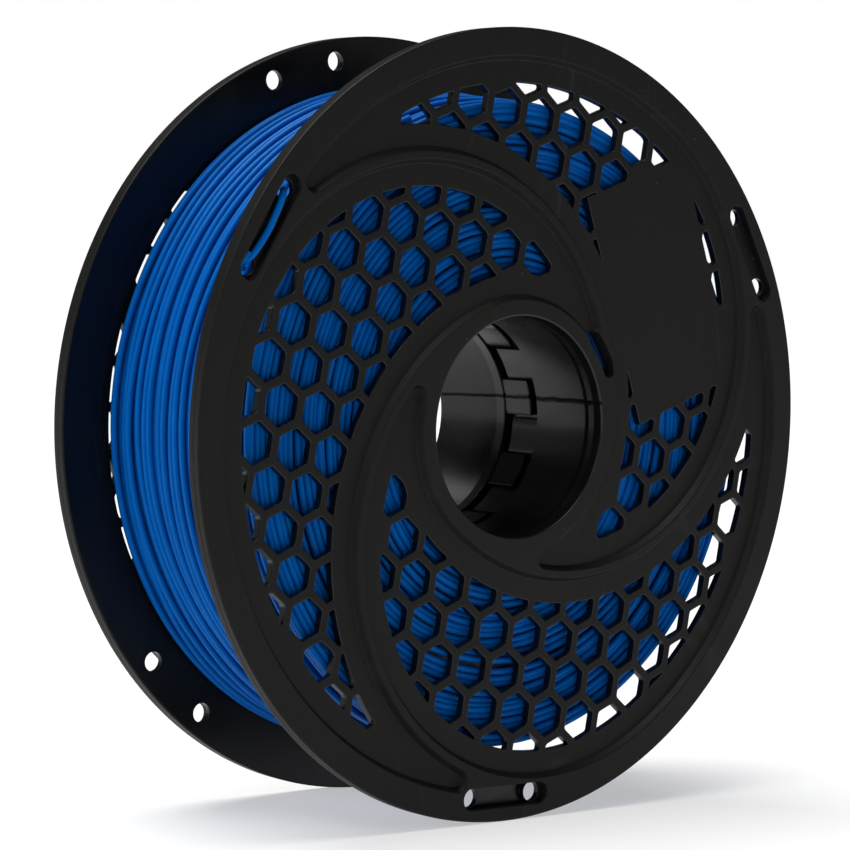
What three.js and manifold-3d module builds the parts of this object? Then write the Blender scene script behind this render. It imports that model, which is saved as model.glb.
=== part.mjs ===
// A filament spool: two moulded halves that plug together at the hub, with one winding of filament.
// The spool's axis is Y, its middle is the origin, and the front flange faces -Y.
import * as THREE from 'three';
import * as BufferGeometryUtils from 'three/addons/utils/BufferGeometryUtils.js';
import Module from 'manifold-3d';

const wasm = await Module();
wasm.setup();

// Driving dimensions, in millimetres and degrees.
const FLANGE_RADIUS = 100;
const SPOOL_WIDTH = 60.6;
const FLANGE_THICKNESS = 4;
const BORE_RADIUS = 28;
const HUB_RADIUS = 32;
const REAR_OPENING_RADIUS = 25.0;
const REAR_TAPER_LENGTH = 20;

const RECESS_DEPTH = 1.8;
const RIM_RECESS_RADIUS = 91.9;
const HUB_RING_RADIUS = 33.2;
const SWIRL_RADIUS = 60;
const SWIRL_CENTRE = new THREE.Vector2(-30.5, 4.5);
const RIB_WIDTH = 4;
const SWIRL_BLEND_BEARING = 142;
const RIM_TIP_RADIUS = 1.9;
const HUB_TIP_RADIUS = 1.8;
const PANELS = 3;

const CELL_PITCH = 11.357;
const CELL_ACROSS_FLATS = 9.2;
const CELL_ROW_ANGLE = -8.4;
const FIRST_CELL = new THREE.Vector2(-50.8, 51.2);
const CELL_MARGIN = 5.6;
const CELL_TIP_RADIUS = 0.6;
const SMALLEST_CELL_AREA = 4;
const CELL_ROWS_EACH_WAY = 13;

const LABEL_WIDTH = 36.7;
const LABEL_HEIGHT = 62.4;
const LABEL_CENTRE = new THREE.Vector2(49.7, 36.2);
const LABEL_ANGLE = 21;

const SLOT_ANGLES = [30, 150, 270];
const SLOT_CENTRE_RADIUS = 93.6;
const SLOT_HALF_SPACING = 11.4;
const SLOT_END_RADIUS = 2.7;
const SLOT_DEPTH = 2.4;
const TIE_HOLE_RADIUS = 2.5;
const TIE_HOLE_HALF_SPACING = 10.45;

const START_SLOT_RADIUS = 33.4;
const START_SLOT_HALF_WIDTH = 2;
const START_SLOT_FROM = 26;
const START_SLOT_TO = 43;

const TEETH = 9;
const TOOTH_SET_BACK = 0.4;
const TOOTH_OUTER_RADIUS = 29.9;
const FRONT_TOOTH_ANGLE = 18.6;
const REAR_TOOTH_ANGLE = 19.2;
const FRONT_TOOTH_CENTRE = 32;
const REAR_TOOTH_CENTRE = 12.4;
const FRONT_SLEEVE_END = 24.7;
const FRONT_TOOTH_TIP = 34.8;
const REAR_TOOTH_TIP = 27.7;
const REAR_SLEEVE_END = 37.5;
const COLLAR_END = 43;
const CLEARANCE = 0.3;
const REAR_TURN = 42;

const FILAMENT_DIAMETER = 1.75;
const WINDING_FRONT_RADIUS = 81.7;
const WINDING_REAR_RADIUS = 86.8;
const WINDING_EDGE_ROUND = 1.5;
const TIED_SLOT_ANGLE = 150;
const TAIL_LEAVES_ANGLE = 115;
const TAIL_LEAVES_DEPTH = 6.6;
const TAIL_STEPS = 60;
const START_STUB_ANGLE = 27.5;

const RIM_SEGMENTS = 96;
const BORE_SEGMENTS = 54;
const ARC_STEP = 7;
const TIP_ARC_STEP = 1;
const SLOT_ARC_STEP = 1.8;
const SECTION_ARC_STEP = 0.6;
const TIE_HOLE_SEGMENTS = 12;
const STUB_SEGMENTS = 10;
const CUT = 1;
const SAME_POINT = 0.02;

const AXIS = new THREE.Vector2(0, 0);

const moulding = { color: 0x1e1f1d, roughness: 0.38, metalness: 0 };
const filament = { color: 0x005cb4, roughness: 0.4, metalness: 0 };

// ---- Plane geometry, in the plane of a flange ----

function onCircle(centre, radius, bearing) {
  const angle = THREE.MathUtils.degToRad(bearing);
  return new THREE.Vector2(centre.x + radius * Math.cos(angle), centre.y + radius * Math.sin(angle));
}

function bearingOf(point, centre = AXIS) {
  return THREE.MathUtils.radToDeg(Math.atan2(point.y - centre.y, point.x - centre.x));
}

function turned(point, degrees) {
  return point.clone().rotateAround(AXIS, THREE.MathUtils.degToRad(degrees));
}

function arc(centre, radius, from, to, step = ARC_STEP) {
  const length = radius * Math.abs(THREE.MathUtils.degToRad(to - from));
  const pieces = Math.max(2, Math.ceil(length / step));
  const points = [];
  for (let i = 0; i <= pieces; i += 1) {
    points.push(onCircle(centre, radius, from + (to - from) * i / pieces));
  }
  return points;
}

// One closed outline from arcs that follow each other, without the points that they share.
function joined(...arcs) {
  const points = [];
  for (const point of arcs.flat()) {
    if (!points.some((other) => other.distanceTo(point) < SAME_POINT)) points.push(point);
  }
  return points;
}

// The bearing, seen from the axis, at which two circles cross. One is round the axis.
function crossingBearing(ownRadius, centre, radius, side) {
  const distance = centre.length();
  const cosine = (ownRadius ** 2 + distance ** 2 - radius ** 2) / (2 * ownRadius * distance);
  return bearingOf(centre) + side * THREE.MathUtils.radToDeg(Math.acos(cosine));
}

// One swirl panel's edge, inset by a margin. It runs along the hub ring, out along the next
// rib's far side, back round the rim, and in along its own rib, with a rounded tip at each end.
function panelOutline(inset, hubTip, rimTip) {
  const nextCentre = turned(SWIRL_CENTRE, 360 / PANELS);
  const hub = HUB_RING_RADIUS + inset;
  const rim = RIM_RECESS_RADIUS - inset;
  const swirl = SWIRL_RADIUS - inset;
  const farSide = SWIRL_RADIUS + RIB_WIDTH + inset;
  const outward = onCircle(AXIS, 1, SWIRL_BLEND_BEARING);
  const leaving = onCircle(SWIRL_CENTRE, SWIRL_RADIUS, SWIRL_BLEND_BEARING);
  const blendRadius = (leaving.lengthSq() - RIM_RECESS_RADIUS ** 2)
    / (2 * (leaving.dot(outward) - RIM_RECESS_RADIUS));
  const blendCentre = leaving.clone().addScaledVector(outward, -blendRadius);
  const blendEnd = THREE.MathUtils.euclideanModulo(bearingOf(blendCentre), 360);

  const hubTipBearing = crossingBearing(hub + hubTip, SWIRL_CENTRE, swirl - hubTip, -1);
  const hubTipCentre = onCircle(AXIS, hub + hubTip, hubTipBearing);
  const rimTipBearing = 360 + crossingBearing(rim - rimTip, nextCentre, farSide + rimTip, -1);
  const rimTipCentre = onCircle(AXIS, rim - rimTip, rimTipBearing);
  const hubTangent = 180 + bearingOf(nextCentre);
  return joined(
    arc(AXIS, hub, hubTipBearing, hubTangent),
    arc(nextCentre, farSide, hubTangent, 360 + bearingOf(rimTipCentre, nextCentre)),
    arc(rimTipCentre, rimTip, bearingOf(nextCentre, rimTipCentre), rimTipBearing - 360, TIP_ARC_STEP),
    arc(AXIS, rim, rimTipBearing, blendEnd),
    arc(blendCentre, blendRadius - inset, blendEnd, SWIRL_BLEND_BEARING),
    arc(SWIRL_CENTRE, swirl, SWIRL_BLEND_BEARING, bearingOf(hubTipCentre, SWIRL_CENTRE)),
    arc(hubTipCentre, hubTip, bearingOf(hubTipCentre, SWIRL_CENTRE), hubTipBearing - 180, TIP_ARC_STEP),
  );
}

function hexagon(centre) {
  const corners = [];
  for (let i = 0; i < 6; i += 1) {
    corners.push(onCircle(centre, CELL_ACROSS_FLATS / Math.sqrt(3), CELL_ROW_ANGLE + 30 + 60 * i));
  }
  return corners;
}

function stadium(centre, along, halfSpacing, radius) {
  const bearing = THREE.MathUtils.radToDeg(Math.atan2(along.y, along.x));
  const head = centre.clone().addScaledVector(along, halfSpacing);
  const tail = centre.clone().addScaledVector(along, -halfSpacing);
  return joined(
    arc(head, radius, bearing - 90, bearing + 90, SLOT_ARC_STEP),
    arc(tail, radius, bearing + 90, bearing + 270, SLOT_ARC_STEP),
  );
}

// ---- Solids ----

function solidOf(geometry) {
  const bare = geometry.clone();
  bare.deleteAttribute('normal');
  bare.deleteAttribute('uv');
  const merged = BufferGeometryUtils.mergeVertices(bare);
  return new wasm.Manifold(new wasm.Mesh({
    numProp: 3,
    vertProperties: new Float32Array(merged.attributes.position.array),
    triVerts: new Uint32Array(merged.index.array),
  }));
}

function geometryOf(solid) {
  const mesh = solid.getMesh();
  const geometry = new THREE.BufferGeometry();
  geometry.setAttribute('position', new THREE.BufferAttribute(mesh.vertProperties, 3));
  geometry.setIndex(new THREE.BufferAttribute(mesh.triVerts, 1));
  geometry.computeVertexNormals();
  return geometry;
}

function prism(points, low, high) {
  const geometry = new THREE.ExtrudeGeometry(new THREE.Shape(points), {
    depth: high - low,
    bevelEnabled: false,
  });
  return solidOf(geometry.translate(0, 0, low));
}

function cone(lowRadius, highRadius, low, high, segments = BORE_SEGMENTS) {
  const geometry = new THREE.CylinderGeometry(highRadius, lowRadius, high - low, segments);
  return solidOf(geometry.rotateX(Math.PI / 2).translate(0, 0, (high + low) / 2));
}

function disc(radius, low, high, segments = BORE_SEGMENTS) {
  return cone(radius, radius, low, high, segments);
}

function tube(inner, outer, low, high) {
  return disc(outer, low, high).subtract(disc(inner, low - CUT, high + CUT));
}

// ---- The flange, its outer face at z = 0 and its inner face at z = -FLANGE_THICKNESS ----

const BELOW = -FLANGE_THICKNESS - CUT;

function labelPlate() {
  const along = onCircle(AXIS, LABEL_WIDTH / 2, LABEL_ANGLE);
  const up = onCircle(AXIS, LABEL_HEIGHT / 2, LABEL_ANGLE + 90);
  const corners = [[-1, -1], [1, -1], [1, 1], [-1, 1]];
  const points = corners.map(([across, rise]) => LABEL_CENTRE.clone()
    .addScaledVector(along, across).addScaledVector(up, rise));
  return prism(points, BELOW - CUT, 2 * CUT);
}

function honeycombCells() {
  const region = prism(panelOutline(CELL_MARGIN, CELL_TIP_RADIUS, CELL_TIP_RADIUS), BELOW, CUT);
  const height = CUT - BELOW;
  const stepAlong = onCircle(AXIS, CELL_PITCH, CELL_ROW_ANGLE);
  const stepUp = onCircle(AXIS, CELL_PITCH, CELL_ROW_ANGLE + 60);
  const cells = [];
  for (let row = -CELL_ROWS_EACH_WAY; row <= CELL_ROWS_EACH_WAY; row += 1) {
    for (let column = -CELL_ROWS_EACH_WAY; column <= CELL_ROWS_EACH_WAY; column += 1) {
      const centre = FIRST_CELL.clone().addScaledVector(stepAlong, column).addScaledVector(stepUp, row);
      if (centre.length() > FLANGE_RADIUS) continue;
      const cell = prism(hexagon(centre), BELOW, CUT).intersect(region);
      if (cell.volume() > SMALLEST_CELL_AREA * height) cells.push(cell);
    }
  }
  return cells;
}

// The label plate closes the cells behind it. A cell that it leaves only a sliver of is closed too.
function openCells() {
  const plate = labelPlate();
  const smallest = SMALLEST_CELL_AREA * (CUT - BELOW);
  const panelCells = honeycombCells();
  const cells = [];
  for (let panel = 0; panel < PANELS; panel += 1) {
    for (const cell of panelCells) {
      const placed = cell.rotate([0, 0, panel * 360 / PANELS]);
      const open = placed.subtract(plate);
      if (open.volume() > smallest) cells.push(open);
    }
  }
  return wasm.Manifold.union(cells);
}

function rimSlots() {
  const cuts = [];
  for (const angle of SLOT_ANGLES) {
    const centre = onCircle(AXIS, SLOT_CENTRE_RADIUS, angle);
    const along = onCircle(AXIS, 1, angle + 90);
    cuts.push(prism(stadium(centre, along, SLOT_HALF_SPACING, SLOT_END_RADIUS), -SLOT_DEPTH, CUT));
    for (const side of [-1, 1]) {
      const hole = centre.clone().addScaledVector(along, side * TIE_HOLE_HALF_SPACING);
      cuts.push(disc(TIE_HOLE_RADIUS, BELOW, CUT, TIE_HOLE_SEGMENTS).translate([hole.x, hole.y, 0]));
    }
  }
  return wasm.Manifold.union(cuts);
}

function startSlot() {
  const inner = START_SLOT_RADIUS - START_SLOT_HALF_WIDTH;
  const outer = START_SLOT_RADIUS + START_SLOT_HALF_WIDTH;
  const head = onCircle(AXIS, START_SLOT_RADIUS, START_SLOT_TO);
  const tail = onCircle(AXIS, START_SLOT_RADIUS, START_SLOT_FROM);
  return prism(joined(
    arc(AXIS, outer, START_SLOT_FROM, START_SLOT_TO),
    arc(head, START_SLOT_HALF_WIDTH, START_SLOT_TO, START_SLOT_TO + 180, SLOT_ARC_STEP),
    arc(AXIS, inner, START_SLOT_TO, START_SLOT_FROM),
    arc(tail, START_SLOT_HALF_WIDTH, START_SLOT_FROM + 180, START_SLOT_FROM + 360, SLOT_ARC_STEP),
  ), BELOW, CUT);
}

function flange() {
  const recess = prism(panelOutline(0, HUB_TIP_RADIUS, RIM_TIP_RADIUS), -RECESS_DEPTH, CUT);
  const cuts = [openCells(), rimSlots(), startSlot()];
  for (let panel = 0; panel < PANELS; panel += 1) {
    cuts.push(recess.rotate([0, 0, panel * 360 / PANELS]));
  }
  const plate = disc(FLANGE_RADIUS, -FLANGE_THICKNESS, 0, RIM_SEGMENTS)
    .subtract(disc(BORE_RADIUS, BELOW, CUT));
  return plate.subtract(wasm.Manifold.union(cuts));
}

// ---- The hub, split at castellated teeth inside the front half's collar ----

function teeth(centre, width, outer, low, high) {
  const inner = BORE_RADIUS + TOOTH_SET_BACK;
  const solids = [];
  for (let i = 0; i < TEETH; i += 1) {
    const middle = centre + i * 360 / TEETH;
    const points = [
      ...arc(AXIS, outer, middle - width / 2, middle + width / 2),
      ...arc(AXIS, inner, middle + width / 2, middle - width / 2),
    ];
    solids.push(prism(points, low, high));
  }
  return wasm.Manifold.union(solids);
}

function frontHalf() {
  const sleeve = tube(BORE_RADIUS, HUB_RADIUS, -FRONT_SLEEVE_END, -FLANGE_THICKNESS / 2);
  const root = -FRONT_SLEEVE_END + CUT;
  const collar = tube(TOOTH_OUTER_RADIUS + CLEARANCE, HUB_RADIUS, -COLLAR_END, root);
  const outer = TOOTH_OUTER_RADIUS + 2 * CLEARANCE;
  const fingers = teeth(FRONT_TOOTH_CENTRE, FRONT_TOOTH_ANGLE, outer, -FRONT_TOOTH_TIP, root);
  return wasm.Manifold.union([flange(), sleeve.subtract(startSlot()), collar, fingers]);
}

// The rear half is modelled as the front one is, with its own outer face at z = 0. Its bore
// narrows towards that face.
function rearHalf() {
  const shoulder = SPOOL_WIDTH - COLLAR_END - CLEARANCE;
  const sleeveEnd = SPOOL_WIDTH - REAR_SLEEVE_END;
  const tip = SPOOL_WIDTH - REAR_TOOTH_TIP;
  const sleeve = tube(BORE_RADIUS, HUB_RADIUS, -shoulder, -FLANGE_THICKNESS / 2);
  const spigot = tube(BORE_RADIUS, TOOTH_OUTER_RADIUS, -sleeveEnd, -shoulder + CUT);
  const middle = 180 - REAR_TOOTH_CENTRE - REAR_TURN;
  const fingers = teeth(middle, REAR_TOOTH_ANGLE, TOOTH_OUTER_RADIUS, -tip, -sleeveEnd + CUT);
  const slope = (BORE_RADIUS - REAR_OPENING_RADIUS) / REAR_TAPER_LENGTH;
  const taper = disc(BORE_RADIUS + CUT, -REAR_TAPER_LENGTH, 0).subtract(cone(
    BORE_RADIUS + slope * CUT, REAR_OPENING_RADIUS - slope * CUT, -REAR_TAPER_LENGTH - CUT, CUT,
  ));
  return wasm.Manifold.union([flange(), sleeve.subtract(startSlot()), spigot, fingers, taper]);
}

// ---- The filament ----

// The winding stands higher against the rear flange than against the front one.
function windingGeometry() {
  const half = SPOOL_WIDTH / 2 - FLANGE_THICKNESS - CLEARANCE;
  const inner = HUB_RADIUS + CLEARANCE;
  const round = WINDING_EDGE_ROUND;
  const profile = [
    [inner, -half], [WINDING_FRONT_RADIUS - round, -half], [WINDING_FRONT_RADIUS, round - half],
    [WINDING_REAR_RADIUS, half - round], [WINDING_REAR_RADIUS - round, half],
    [inner, half], [inner, -half],
  ];
  const points = profile.map(([radius, along]) => new THREE.Vector2(radius, along));
  return new THREE.LatheGeometry(points, RIM_SEGMENTS);
}

// The free end leaves the winding, comes out of one tie hole, lies in the slot, and goes
// back in through the other. Each point is a distance along the slot and a depth below the face.
function tailGeometry() {
  const centre = onCircle(AXIS, SLOT_CENTRE_RADIUS, TIED_SLOT_ANGLE);
  const along = onCircle(AXIS, 1, TIED_SLOT_ANGLE + 90);
  const face = SPOOL_WIDTH / 2;
  const rise = (WINDING_REAR_RADIUS - WINDING_FRONT_RADIUS) * TAIL_LEAVES_DEPTH / SPOOL_WIDTH;
  const windingTop = WINDING_FRONT_RADIUS + rise + FILAMENT_DIAMETER / 2 + CLEARANCE;
  const offWinding = onCircle(AXIS, windingTop, TAIL_LEAVES_ANGLE);
  const inSlot = [
    [-16.5, 6.2], [-13.4, 5.7], [-11.6, 4.5], [-10.4, 3.1], [-9.1, 1.8], [-7, 1.3],
    [-3.5, 1.25], [0, 1.25], [3.5, 1.25], [7, 1.3], [9.1, 1.8], [10.4, 3.1], [11.6, 4.5],
    [13.4, 5.7], [16.5, 6.2],
  ];
  const route = [new THREE.Vector3(offWinding.x, offWinding.y, face - TAIL_LEAVES_DEPTH)];
  for (const [distance, depth] of inSlot) {
    const point = centre.clone().addScaledVector(along, distance);
    route.push(new THREE.Vector3(point.x, point.y, face - depth));
  }
  const curve = new THREE.CatmullRomCurve3(route, false, 'centripetal');
  const section = new THREE.Shape(arc(AXIS, FILAMENT_DIAMETER / 2, 0, 315, SECTION_ARC_STEP));
  return new THREE.ExtrudeGeometry(section, { steps: TAIL_STEPS, extrudePath: curve });
}

function stubGeometry() {
  const radius = FILAMENT_DIAMETER / 2;
  const length = FLANGE_THICKNESS - RECESS_DEPTH / 2;
  const point = onCircle(AXIS, START_SLOT_RADIUS, START_STUB_ANGLE);
  const stub = new THREE.CylinderGeometry(radius, radius, length, STUB_SEGMENTS).rotateX(Math.PI / 2);
  return stub.translate(point.x, point.y, SPOOL_WIDTH / 2 - FLANGE_THICKNESS + length / 2);
}

// ---- The assembly ----

function named(name, geometry, look) {
  const mesh = new THREE.Mesh(geometry, new THREE.MeshStandardMaterial(look));
  mesh.name = name;
  return mesh;
}

// Turns a flange's own frame, outward along z, so that outward is -Y and its up is +Z.
const front = new THREE.Group();
front.rotation.x = Math.PI / 2;

const frontMesh = named('front_half', geometryOf(frontHalf()), moulding);
frontMesh.position.z = SPOOL_WIDTH / 2;
front.add(frontMesh);
front.add(named('filament_tail', tailGeometry(), filament));
front.add(named('filament_start', stubGeometry(), filament));

const rear = new THREE.Group();
rear.rotation.x = Math.PI / 2;
const rearMesh = named('rear_half', geometryOf(rearHalf()), moulding);
rearMesh.position.z = SPOOL_WIDTH / 2;
rearMesh.rotation.z = THREE.MathUtils.degToRad(REAR_TURN);
rear.add(rearMesh);
const turnedRound = new THREE.Group();
turnedRound.rotation.z = Math.PI;
turnedRound.add(rear);

const spool = new THREE.Group();
spool.add(front);
spool.add(turnedRound);
spool.add(named('filament_winding', windingGeometry(), filament));

export default spool;
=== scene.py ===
"""A filament spool: two black moulded halves plugged together at the hub, wound with blue filament."""
import math
import random

import bmesh
import bpy
import numpy as np
from mathutils import Matrix, Vector
from mathutils.geometry import delaunay_2d_cdt


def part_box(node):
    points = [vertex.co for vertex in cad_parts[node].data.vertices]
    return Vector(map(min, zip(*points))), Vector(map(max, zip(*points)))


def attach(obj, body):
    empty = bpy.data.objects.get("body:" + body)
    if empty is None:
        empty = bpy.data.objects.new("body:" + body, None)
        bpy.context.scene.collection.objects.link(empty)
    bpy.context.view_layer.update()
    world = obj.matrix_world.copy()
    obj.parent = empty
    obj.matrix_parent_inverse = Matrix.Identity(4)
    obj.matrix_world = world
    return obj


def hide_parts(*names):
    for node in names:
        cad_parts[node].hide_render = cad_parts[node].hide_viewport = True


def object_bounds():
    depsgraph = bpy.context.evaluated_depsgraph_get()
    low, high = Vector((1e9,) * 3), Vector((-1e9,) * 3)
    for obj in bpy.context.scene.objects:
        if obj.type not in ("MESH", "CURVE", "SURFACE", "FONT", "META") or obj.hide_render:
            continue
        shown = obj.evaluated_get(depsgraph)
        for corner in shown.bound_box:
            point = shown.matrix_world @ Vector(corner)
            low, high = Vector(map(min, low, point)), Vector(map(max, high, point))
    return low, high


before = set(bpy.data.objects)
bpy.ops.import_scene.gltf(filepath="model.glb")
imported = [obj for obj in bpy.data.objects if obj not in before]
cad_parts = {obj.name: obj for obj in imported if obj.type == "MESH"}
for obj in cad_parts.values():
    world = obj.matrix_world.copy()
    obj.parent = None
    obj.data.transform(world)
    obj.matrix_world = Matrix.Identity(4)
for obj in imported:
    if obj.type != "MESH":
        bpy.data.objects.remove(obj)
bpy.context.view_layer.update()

# ---- Driving dimensions: millimetres and degrees, in a flange's own frame, as in the CAD ----
# There x and y lie in the flange, z points outward, and the outer face is z = 0.

MM = 0.001
LOW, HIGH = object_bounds()
FLANGE_RADIUS = (HIGH[0] - LOW[0]) / 2 / MM
SPOOL_WIDTH = (HIGH[1] - LOW[1]) / MM
FLANGE_THICKNESS = 4.0
BORE_RADIUS = 28.0
HUB_RADIUS = 32.0
REAR_OPENING_RADIUS = 25.0
REAR_TAPER_LENGTH = 20.0
BORE_LIP_DEPTH = 2.4
BORE_LIP_STEP = 0.45
BORE_STRIP_END = 4.3
BORE_GROOVE_END = 6.2
BORE_GROOVE_RISE = 0.35
# The painted dark reflection line along the bore: its slope and half width.
BORE_REFLECTION_LINE_SLOPE = 0.23
BORE_REFLECTION_LINE_HALF_WIDTH = 0.7
REAR_TURN = 42.0
PANELS = 3

RECESS_DEPTH = 1.8
RIM_RECESS_RADIUS = 91.9
HUB_RING_RADIUS = 33.2
SWIRL_RADIUS = 60.0
SWIRL_CENTRE = (-30.5, 4.5)
SWIRL_BLEND_BEARING = 142.0
RIB_WIDTH = 4.0
RIM_TIP_RADIUS = 1.9
HUB_TIP_RADIUS = 1.8
WALL_SLOPE = 1.05
PANEL_PIECES = {"hub": 40, "far": 110, "rim_tip": 12, "rim": 96, "blend": 36, "swirl": 84, "hub_tip": 14}

CELL_PITCH = 11.357
CELL_ACROSS_FLATS = 9.2
CELL_ROW_ANGLE = -8.4
FIRST_CELL = (-50.8, 51.2)
CELL_MARGIN = 5.6
CELL_CORNER_RADIUS = 1.0
CELL_REGION_TIP_RADIUS = 0.6
SMALLEST_CELL_AREA = 4.0
SHORTEST_CELL_EDGE = 0.3
CELL_ROWS_EACH_WAY = 13

LABEL_WIDTH = 36.7
LABEL_HEIGHT = 62.4
LABEL_CENTRE = (49.7, 36.2)
LABEL_ANGLE = 21.0

SLOT_ANGLES = (30.0, 150.0, 270.0)
SLOT_CENTRE_RADIUS = 93.6
SLOT_HALF_SPACING = 11.4
SLOT_END_RADIUS = 2.7
SLOT_DEPTH = 2.4
TIE_HOLE_RADIUS = 2.5
TIE_HOLE_HALF_SPACING = 10.45

START_SLOT_RADIUS = 33.4
START_SLOT_HALF_WIDTH = 2.0
START_SLOT_FROM = 26.0
START_SLOT_TO = 43.0

TEETH = 9
TOOTH_INNER_RADIUS = 28.4
TOOTH_OUTER_RADIUS = 29.9
TOOTH_EDGE_RADIUS = 0.28
TOOTH_ROOT = 0.8
FRONT_TOOTH_ANGLE = 18.6
REAR_TOOTH_ANGLE = 19.2
FRONT_TOOTH_CENTRE = 32.0
REAR_TOOTH_CENTRE = 12.4
FRONT_SLEEVE_END = 24.7
FRONT_TOOTH_TIP = 34.8
REAR_TOOTH_TIP = 27.7
REAR_SLEEVE_END = 37.5
COLLAR_END = 43.0
CLEARANCE = 0.3

FILAMENT_DIAMETER = 1.75
RIM_SEGMENTS = 288
HOLE_SEGMENTS = 28
SLOT_END_PIECES = 18
START_SLOT_PIECES = 12
ROUND_STEPS = 4
TOOTH_EDGE_STEPS = 4
TOOTH_STEPS = 9

# Corners that turn less than this, in degrees, stay as they are, and a rounded corner takes at
# most this share of its shorter edge.
LEAST_ROUNDED_TURN = 18
MOST_OF_EDGE = 0.46
CORNER_STEP = 15

# A mesh's material slots.
SATIN, POLISHED = 0, 1


# ---- Plane geometry ----

def on_circle(centre, radius, bearing):
    angle = math.radians(bearing)
    return (centre[0] + radius * math.cos(angle), centre[1] + radius * math.sin(angle))


def bearing_of(point, centre=(0.0, 0.0)):
    return math.degrees(math.atan2(point[1] - centre[1], point[0] - centre[0]))


def turned(point, degrees):
    return on_circle((0, 0), math.hypot(*point), bearing_of(point) + degrees)


def arc(centre, radius, start, end, pieces):
    """Points from start up to, but not including, end."""
    return [on_circle(centre, radius, start + (end - start) * i / pieces) for i in range(pieces)]


def circle(radius, segments=RIM_SEGMENTS, centre=(0.0, 0.0)):
    return arc(centre, radius, 0, 360, segments)


def crossing_bearing(own_radius, centre, radius, side):
    """The bearing, seen from the axis, at which a circle round the axis crosses another one."""
    distance = math.hypot(*centre)
    cosine = (own_radius ** 2 + distance ** 2 - radius ** 2) / (2 * own_radius * distance)
    return bearing_of(centre) + side * math.degrees(math.acos(cosine))


def panel_outline(inset, tip_growth=0.0, hub_tip=HUB_TIP_RADIUS, rim_tip=RIM_TIP_RADIUS):
    """A swirl panel's edge, inset by a margin: along the hub ring, out along the next rib's far
    side, back round the rim, and in along its own rib, with a rounded tip at each end."""
    next_centre = turned(SWIRL_CENTRE, 360 / PANELS)
    hub_tip = hub_tip + tip_growth
    rim_tip = rim_tip + tip_growth
    hub = HUB_RING_RADIUS + inset
    rim = RIM_RECESS_RADIUS - inset
    swirl = SWIRL_RADIUS - inset
    far_side = SWIRL_RADIUS + RIB_WIDTH + inset
    outward = on_circle((0, 0), 1, SWIRL_BLEND_BEARING)
    leaving = on_circle(SWIRL_CENTRE, SWIRL_RADIUS, SWIRL_BLEND_BEARING)
    along = leaving[0] * outward[0] + leaving[1] * outward[1]
    square_gap = leaving[0] ** 2 + leaving[1] ** 2 - RIM_RECESS_RADIUS ** 2
    blend_radius = square_gap / (2 * (along - RIM_RECESS_RADIUS))
    blend_centre = (leaving[0] - outward[0] * blend_radius, leaving[1] - outward[1] * blend_radius)
    blend_end = bearing_of(blend_centre) % 360
    hub_tip_bearing = crossing_bearing(hub + hub_tip, SWIRL_CENTRE, swirl - hub_tip, -1)
    hub_tip_centre = on_circle((0, 0), hub + hub_tip, hub_tip_bearing)
    rim_tip_bearing = 360 + crossing_bearing(rim - rim_tip, next_centre, far_side + rim_tip, -1)
    rim_tip_centre = on_circle((0, 0), rim - rim_tip, rim_tip_bearing)
    hub_tangent = 180 + bearing_of(next_centre)
    far_end = 360 + bearing_of(rim_tip_centre, next_centre)
    pieces = PANEL_PIECES
    return (
        arc((0, 0), hub, hub_tip_bearing, hub_tangent, pieces["hub"])
        + arc(next_centre, far_side, hub_tangent, far_end, pieces["far"])
        + arc(rim_tip_centre, rim_tip, bearing_of(next_centre, rim_tip_centre), rim_tip_bearing - 360,
              pieces["rim_tip"])
        + arc((0, 0), rim, rim_tip_bearing, blend_end, pieces["rim"])
        + arc(blend_centre, blend_radius - inset, blend_end, SWIRL_BLEND_BEARING, pieces["blend"])
        + arc(SWIRL_CENTRE, swirl, SWIRL_BLEND_BEARING, bearing_of(hub_tip_centre, SWIRL_CENTRE),
              pieces["swirl"])
        + arc(hub_tip_centre, hub_tip, bearing_of(hub_tip_centre, SWIRL_CENTRE), hub_tip_bearing - 180,
              pieces["hub_tip"])
    )


def edges_of(polygon):
    return zip(polygon, polygon[1:] + polygon[:1])


def area(polygon):
    return 0.5 * sum(p[0] * q[1] - q[0] * p[1] for p, q in edges_of(polygon))


def side_of(point, start, end):
    """Positive to the left of the line from start to end."""
    return (end[0] - start[0]) * (point[1] - start[1]) - (end[1] - start[1]) * (point[0] - start[0])


def between(p, q, share):
    return (p[0] + (q[0] - p[0]) * share, p[1] + (q[1] - p[1]) * share)


def clipped(polygon, window):
    """The part of a polygon that lies inside a convex window. Both run anticlockwise."""
    for start, end in edges_of(window):
        kept = []
        for p, q in zip(polygon[-1:] + polygon[:-1], polygon):
            side_p, side_q = side_of(p, start, end), side_of(q, start, end)
            if (side_p >= 0) != (side_q >= 0):
                kept.append(between(p, q, side_p / (side_p - side_q)))
            if side_q >= 0:
                kept.append(q)
        polygon = kept
        if len(polygon) < 3:
            return []
    return polygon


def is_inside(point, window):
    return all(side_of(point, start, end) > 0 for start, end in edges_of(window))


def share_along(point, start, end):
    """How far along the line from start to end the point lies: 0 at its start, 1 at its end."""
    run = (end[0] - start[0], end[1] - start[1])
    forward = (point[0] - start[0]) * run[0] + (point[1] - start[1]) * run[1]
    return forward / (run[0] ** 2 + run[1] ** 2)


def crossings(p, q, window):
    """Shares of the way from p to q at which that edge crosses the window's edge."""
    found = []
    for start, end in edges_of(window):
        side_p, side_q = side_of(p, start, end), side_of(q, start, end)
        if (side_p > 0) == (side_q > 0):
            continue
        share = side_p / (side_p - side_q)
        if 0 <= share_along(between(p, q, share), start, end) <= 1:
            found.append(share)
    return sorted(found)


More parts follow.
